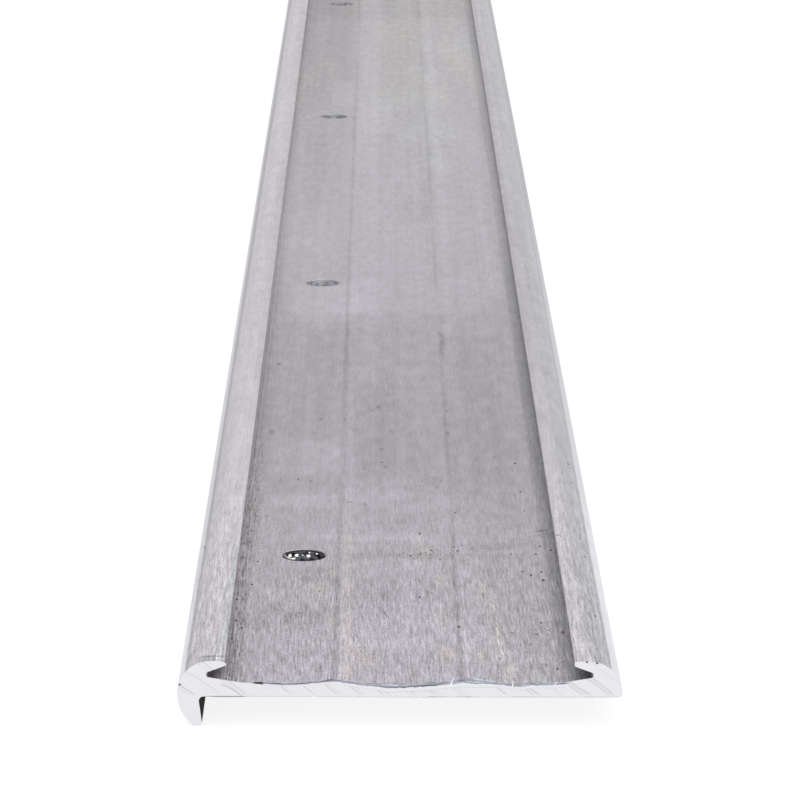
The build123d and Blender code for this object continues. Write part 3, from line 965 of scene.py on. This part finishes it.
def wall_tree():
    """Torn walls inside the punched holes, one ring at each point."""
    nodes, given = geometry_tree("torn_walls", {
        "Radius": "Float", "Height": "Float", "Skin": "Float", "Tear Depth": "Float",
        "Tear Size": "Float", "Seed": "Float", "Material": "Material"})
    path = nodes.add("GeometryNodeCurvePrimitiveCircle", None, {
        "Resolution": 180, "Radius": given["Radius"]})
    skin = nodes.add("GeometryNodeCurvePrimitiveQuadrilateral", None, {
        "Width": given["Skin"], "Height": given["Height"]})
    skin = nodes.add("GeometryNodeResampleCurve", None, {"Curve": skin, "Count": 44})
    ring = nodes.add("GeometryNodeCurveToMesh", None, {"Curve": path, "Profile Curve": skin})
    rings = nodes.add("GeometryNodeInstanceOnPoints", None, {
        "Points": given["Geometry"], "Instance": ring})
    rings = nodes.add("GeometryNodeRealizeInstances", None, {"Geometry": rings})
    across, along, up = nodes.split(nodes.add("GeometryNodeInputPosition"))
    offset_x = across - HOLE_X
    offset_y = (along - HOLE_YS[0] + HOLE_PITCH / 2) % HOLE_PITCH - HOLE_PITCH / 2
    from_axis = calculate("SQRT", offset_x * offset_x + offset_y * offset_y)
    inside = given["Radius"] > from_axis
    size = given["Tear Size"]
    rough = nodes.noise(nodes.join(across / size, along / size, up / size * 0.6 + given["Seed"]), 3, 0.6)
    low = nodes.within(up, WEB_BOTTOM + 0.0002, WEB_TOP - 0.0006, 0.0002)
    near = HOLE_YS[0] + HOLE_PITCH / 2 > along
    reach = most(rough + 0.08, 0) * low * (3 - near * 2.2)
    torn = reach * 0.5
    far_wall = near * (offset_y > 0)
    for ledge_x, ledge_z, half_width, height in NEAR_HOLE_LEDGES:
        beside = (offset_x - ledge_x / MM) / (half_width / MM)
        step = (up - (ledge_z - height / 2) / MM) / (height / MM)
        wide = most(1 - beside * beside, 0) * far_wall
        reach = reach + wide * ledge_slope(nodes, step) * 2.2
        middle = step - 0.5
        torn = torn + most(wide - middle * middle * 2.8, 0)

    # A thin ledge that runs down along the lower left of the wall
    run = offset_x * MM + 1.2
    step = (up * MM - 3.47 - run * run * 0.725) / 0.15
    wide = nodes.within(offset_x, -0.00221, -0.001, 0.00008) * far_wall
    reach = reach + wide * ledge_slope(nodes, step) * 1.3
    torn = torn + wide * nodes.within(step, 0, 1, 0.2)
    rings = nodes.add("GeometryNodeStoreNamedAttribute", {"data_type": "FLOAT", "domain": "POINT"}, {
        "Geometry": rings, "Name": "torn", "Value": torn * inside})
    reach = reach * inside * given["Tear Depth"]
    inward = nodes.join(0 - offset_x / from_axis * reach, 0 - offset_y / from_axis * reach, 0)
    rings = nodes.add("GeometryNodeSetPosition", None, {"Geometry": rings, "Offset": inward})
    close_tree(nodes, rings, given["Material"])
    return nodes.tree


def exit_burr_tree():
    """Ragged rings where the punch broke out under the web."""
    nodes, given = geometry_tree("exit_burrs", {
        "Radius": "Float", "Height": "Float", "Seed": "Float", "Material": "Material"})
    path = nodes.add("GeometryNodeCurvePrimitiveCircle", None, {
        "Resolution": 120, "Radius": given["Radius"]})
    across, along = nodes.split(nodes.add("GeometryNodeInputPosition"))[:2]
    step = given["Radius"] * 0.16
    rag = nodes.noise(nodes.join(across / step, along / step, given["Seed"]), 3, 0.6)
    leaf = nodes.add("GeometryNodeCurvePrimitiveCircle", None, {"Resolution": 8, "Radius": given["Height"]})
    ring = nodes.add("GeometryNodeCurveToMesh", None, {
        "Curve": path, "Profile Curve": leaf, "Scale": 0.6 + rag * 1.3})
    turn = nodes.add("FunctionNodeRandomValue", {"data_type": "FLOAT_VECTOR"}, {
        "Min": (0, 0, 0), "Max": (0, 0, 2 * math.pi), "Seed": 3})
    rings = nodes.add("GeometryNodeInstanceOnPoints", None, {
        "Points": given["Geometry"], "Instance": ring, "Rotation": turn})
    close_tree(nodes, rings, given["Material"])
    return nodes.tree


# Operators

class TRIM_OT_finish_bar(bpy.types.Operator):
    """Gives the CAD bar its mill finish"""

    bl_idname = "trim.finish_bar"
    bl_label = "Finish the bar"

    def execute(self, context):
        material = mill_finish(context.scene.trim_finish)
        for node in frame["nodes"].values():
            node.data.materials.clear()
            node.data.materials.append(material)
        return {"FINISHED"}


# Path of the burr along the near end's upper edge: across, and above the web, in millimetres
BURR_PATH = (
    (-14.9, -0.02), (-14.2, -0.04), (-13.4, -0.1), (-12.6, -0.2), (-11.4, -0.24), (-9.9, -0.2),
    (-8.4, -0.05), (-6.9, 0.09), (-5.4, -0.02), (-3.9, -0.22), (-2.4, -0.4), (-0.9, -0.52), (0.6, -0.47),
    (2.1, -0.36), (4.1, -0.22), (6.1, 0.01), (8.1, -0.04), (10.1, -0.18), (11.6, -0.36), (13.1, -0.25),
    (14.6, -0.2), (16.1, -0.15), (17.1, 0.02),
)

# Path of the small burr on the left lip's sawn tip: across and up, in millimetres
LIP_BURR_PATH = ((-17.85, 6.7), (-17.6, 6.66), (-17.42, 6.52), (-17.3, 6.3))

# Where slivers stand on the near end's sawn face: across, and above the web, in millimetres
SLIVER_PLACES = ((5.05, -0.28), (11.25, -0.4), (15.45, -0.3))


class TRIM_OT_saw_burrs(bpy.types.Operator):
    """Adds the ragged burrs and slivers that the saw left on both ends"""

    bl_idname = "trim.saw_burrs"
    bl_label = "Saw burrs"

    def execute(self, context):
        burr = context.scene.trim_burr
        look = context.scene.trim_finish
        bluish = smeared_burr("smeared_burr", burr.colour, burr.crease_shadow_colour, look)
        # The lower burr's painted shadow takes a third of the burr colour
        pale = smeared_burr("lower_burr", burr.lower_colour, [part / 3 for part in burr.colour], look)
        tree = burr_tree()
        upper = [(x / MM, WEB_TOP + z / MM) for x, z in BURR_PATH]
        lower = [(-0.0192, WEB_BOTTOM), (0, WEB_BOTTOM), (0.0216, WEB_BOTTOM)]
        lip = [(x / MM, z / MM) for x, z in LIP_BURR_PATH]
        for name, end, turn, path, height, metal in (
            ("near_upper_burr", NEAR_END, 1, upper, burr.height, bluish),
            ("far_upper_burr", FAR_END, -1, upper, burr.height, bluish),
            ("near_lip_burr", NEAR_END, 1, lip, burr.height * 0.6, bluish),
            ("near_lower_burr", NEAR_END, 1, lower, burr.lower_height, pale),
            ("far_lower_burr", FAR_END, 1, lower, burr.lower_height, pale),
        ):
            grow(name, tree, [(turn * x, end, z) for x, z in path], {
                "Height": height,
                "Thickness": burr.thickness,
                "Rag Length": burr.rag_length,
                "Lean": burr.thickness * 0.6,
                "Seed": float(burr.seed + turn),
                "Material": metal,
            }, path=True)
        places = [(x / MM, NEAR_END - burr.thickness / 2, WEB_TOP + z / MM) for x, z in SLIVER_PLACES]
        grow("saw_slivers", sliver_tree(), places, {
            "Length": burr.sliver_length,
            "Seed": burr.seed,
            "Material": bright_sliver(burr),
        })
        return {"FINISHED"}


# How far the torn skin stands out of a hole's wall, in metres
SKIN_PROUD = 0.00001


class TRIM_OT_punched_holes(bpy.types.Operator):
    """Adds the torn walls and exit burrs of the punched holes"""

    bl_idname = "trim.punched_holes"
    bl_label = "Punched holes"

    def execute(self, context):
        hole = context.scene.trim_hole
        metal = sheared_wall(context.scene.trim_finish)
        wall_height = WEB_TOP - WEB_BOTTOM - hole.rolled_edge
        middle = WEB_BOTTOM + wall_height / 2
        grow("hole_walls", wall_tree(), [(HOLE_X, y, middle) for y in HOLE_YS], {
            "Radius": HOLE_RADIUS + hole.skin / 2 - SKIN_PROUD,
            "Height": wall_height,
            "Skin": hole.skin,
            "Tear Depth": hole.tear_depth,
            "Tear Size": hole.tear_size,
            "Seed": float(hole.seed),
            "Material": metal,
        })
        grow("hole_exit_burrs", exit_burr_tree(), [(HOLE_X, y, WEB_BOTTOM) for y in HOLE_YS], {
            "Radius": HOLE_RADIUS + hole.exit_burr * 0.7,
            "Height": hole.exit_burr,
            "Seed": float(hole.seed),
            "Material": metal,
        })
        return {"FINISHED"}


class TRIM_OT_stage(bpy.types.Operator):
    """Sets the floor, the light and the camera"""

    bl_idname = "trim.stage"
    bl_label = "Stage"

    def execute(self, context):
        scene = context.scene
        stage = scene.trim_stage
        scene.view_settings.view_transform = "Standard"
        add_floor(scene, stage)
        add_light(scene, stage)
        add_camera(scene, stage)
        return {"FINISHED"}


def background_rays(nodes):
    """1 for the rays that show the background: the camera's, and those in metal and glass."""
    camera_ray = nodes.add("ShaderNodeLightPath", None, None, "Is Camera Ray")
    outputs = camera_ray.socket.node.outputs
    glossy_ray = Field(outputs["Is Glossy Ray"])
    clear_ray = Field(outputs["Is Transmission Ray"])
    return most(camera_ray, glossy_ray, clear_ray)


def add_floor(scene, stage):
    """A white floor that keeps a faint shadow of the bar."""
    half = stage.floor_size / 2
    mesh = bpy.data.meshes.new("floor")
    corners = [(-half, -half, 0), (half, -half, 0), (half, half, 0), (-half, half, 0)]
    mesh.from_pydata(corners, [], [(0, 1, 2, 3)])
    floor = bpy.data.objects.new("floor", mesh)
    scene.collection.objects.link(floor)
    paint = Finish("white_floor")
    plain = paint.add("ShaderNodeBsdfDiffuse", None, {"Color": (0.8, 0.8, 0.8)})
    faint = paint.add("ShaderNodeBsdfDiffuse", None, {"Color": (0.2, 0.2, 0.2)})
    glow = paint.add("ShaderNodeEmission", None, {"Color": (1, 1, 1), "Strength": 0.86})
    shown = paint.add("ShaderNodeAddShader", None, {0: faint, 1: glow})
    surface = paint.add("ShaderNodeMixShader", None, {0: background_rays(paint), 1: plain, 2: shown})
    paint.add("ShaderNodeOutputMaterial", None, {"Surface": surface})
    mesh.materials.append(paint.material)


def add_light(scene, stage):
    """Even light from all round, a large lamp above the bar and a weaker one on the camera's side."""
    world = bpy.data.worlds.new("studio")
    world.use_nodes = True
    scene.world = world
    nodes = Nodes(world.node_tree)
    shown = background_rays(nodes)
    strength = shown + (1 - shown) * stage.sky
    light = nodes.add("ShaderNodeBackground", None, {"Color": (1, 1, 1), "Strength": strength})
    nodes.add("ShaderNodeOutputWorld", None, {"Surface": light})
    for name, power, size, place, turn in (
        ("key_lamp", stage.key_power, (0.9, 1.6), (0.35, -0.2, 1.1), (0, 0.3, 0)),
        ("front_lamp", stage.front_power, (1.2, 0.7), (-0.2, -1.6, 0.8), (1.05, 0, -0.1)),
    ):
        lamp = bpy.data.lights.new(name, "AREA")
        lamp.shape = "RECTANGLE"
        lamp.size, lamp.size_y = size
        lamp.energy = power
        holder = bpy.data.objects.new(name, lamp)
        holder.location = place
        holder.rotation_euler = turn
        scene.collection.objects.link(holder)


def add_camera(scene, stage):
    """The photograph's camera, just above the bar's near end."""
    camera = bpy.data.cameras.new("camera")
    camera.sensor_width = 36
    camera.lens = stage.lens
    camera.clip_start = 0.01
    camera.clip_end = 100
    holder = bpy.data.objects.new("camera", camera)
    place = (stage.side, NEAR_END - stage.distance, WEB_BOTTOM + stage.height)
    holder.matrix_world = (
        Matrix.Translation(place)
        @ Matrix.Rotation(-stage.yaw, 4, "Z")
        @ Matrix.Rotation(math.pi / 2 - stage.pitch, 4, "X")
        @ Matrix.Rotation(stage.roll, 4, "Z")
    )
    scene.collection.objects.link(holder)
    scene.camera = holder


class TRIM_PT_looks(bpy.types.Panel):
    """Lists the steps that dress the bar, and their sizes and colours"""

    bl_idname = "TRIM_PT_looks"
    bl_label = "Trim Bar"
    bl_space_type = "VIEW_3D"
    bl_region_type = "UI"
    bl_category = "Trim Bar"

    def draw(self, context):
        for operator, settings in STEPS:
            box = self.layout.box()
            box.operator(operator.bl_idname)
            group = getattr(context.scene, settings)
            for name in group.bl_rna.properties.keys():
                if name not in ("rna_type", "name"):
                    box.prop(group, name)


SETTINGS = {
    "trim_finish": TrimFinishSettings,
    "trim_burr": TrimBurrSettings,
    "trim_hole": TrimHoleSettings,
    "trim_stage": TrimStageSettings,
}
STEPS = (
    (TRIM_OT_finish_bar, "trim_finish"),
    (TRIM_OT_saw_burrs, "trim_burr"),
    (TRIM_OT_punched_holes, "trim_hole"),
    (TRIM_OT_stage, "trim_stage"),
)
CLASSES = [*SETTINGS.values(), *(operator for operator, settings in STEPS), TRIM_PT_looks]


def register():
    for cls in CLASSES:
        bpy.utils.register_class(cls)
    for name, group in SETTINGS.items():
        setattr(bpy.types.Scene, name, PointerProperty(type=group))


def unregister():
    for name in SETTINGS:
        delattr(bpy.types.Scene, name)
    for cls in reversed(CLASSES):
        bpy.utils.unregister_class(cls)


def main():
    register()
    bpy.ops.trim.finish_bar()
    bpy.ops.trim.saw_burrs()
    bpy.ops.trim.punched_holes()
    bpy.ops.trim.stage()


if __name__ == "__main__":
    main()
